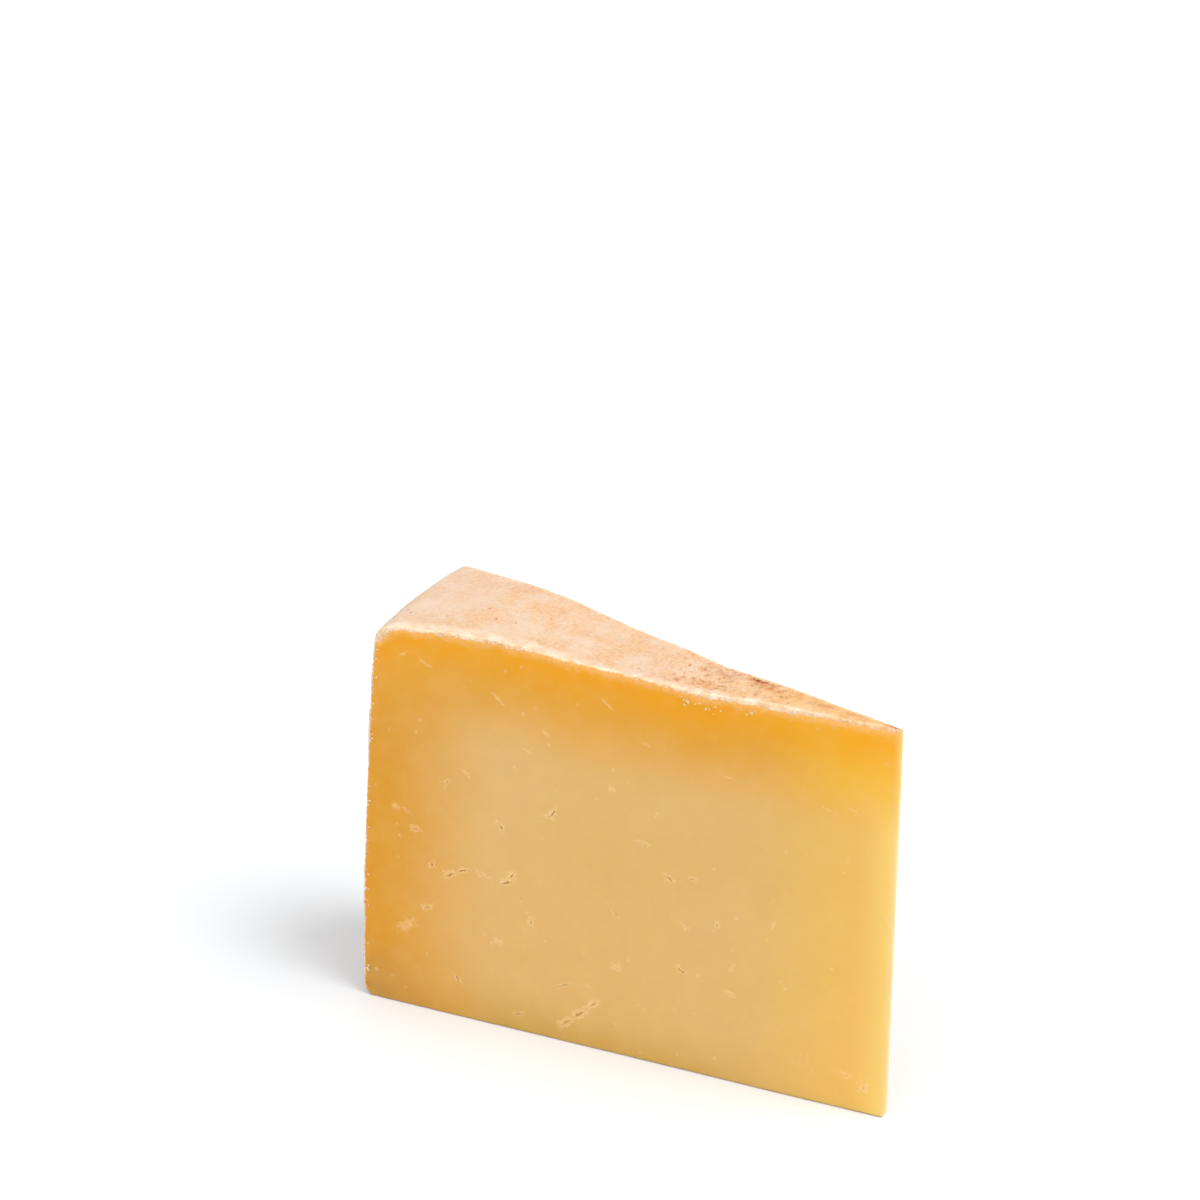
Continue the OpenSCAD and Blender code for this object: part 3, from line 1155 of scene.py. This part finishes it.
def make_wedge():
    wedge = show("wedge", wedge_mesh(), cheese_material())
    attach(wedge, "root")
    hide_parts(NODE)


def make_crumbs():
    crumbs = show("rind_crumbs", crumbs_mesh(), crumb_material())
    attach(crumbs, "root")


def make_floor():
    corners = [(-1, -1, 0), (1, -1, 0), (1, 1, 0), (-1, 1, 0)]
    mesh = bpy.data.meshes.new("floor")
    mesh.from_pydata([Vector(corner) * FLOOR_REACH for corner in corners], [], [(0, 1, 2, 3)])
    show("floor", mesh, floor_material())


def make_camera():
    azimuth, pitch = math.radians(VIEW_AZIMUTH), math.radians(VIEW_PITCH)
    level = Vector((-math.sin(azimuth), math.cos(azimuth), 0))
    ahead = level * math.cos(pitch) - Vector((0, 0, math.sin(pitch)))
    right = Vector((math.cos(azimuth), math.sin(azimuth), 0))
    up = right.cross(ahead)
    x, y, z = ORIGIN_IN_VIEW
    place = Matrix.Translation((right * x + up * y + ahead * z) * -MM)
    turn = Matrix((right, up, -ahead)).transposed().to_4x4()
    data = bpy.data.cameras.new("camera")
    data.sensor_width = SENSOR
    data.lens = LENS
    camera = bpy.data.objects.new("camera", data)
    camera.matrix_world = place @ turn
    bpy.context.scene.collection.objects.link(camera)
    bpy.context.scene.camera = camera


def make_sun(name, toward, spread, strength):
    """A broad distant light. toward points at it, and spread is its width in degrees."""
    data = bpy.data.lights.new(name, "SUN")
    data.angle = math.radians(spread)
    data.energy = strength
    light = bpy.data.objects.new(name, data)
    light.rotation_euler = Vector(toward).to_track_quat("Z", "Y").to_euler()
    bpy.context.scene.collection.objects.link(light)


def make_light():
    world = bpy.data.worlds.new("studio")
    world.use_nodes = True
    background = world.node_tree.nodes["Background"]
    background.inputs["Color"].default_value = (1, 1, 1, 1)
    background.inputs["Strength"].default_value = WORLD_STRENGTH
    bpy.context.scene.world = world
    for name, (toward, spread, strength) in SUNS.items():
        make_sun(name, toward, spread, strength)


bpy.context.scene.view_settings.view_transform = "Standard"
make_camera()
make_light()
make_floor()
make_wedge()
make_crumbs()
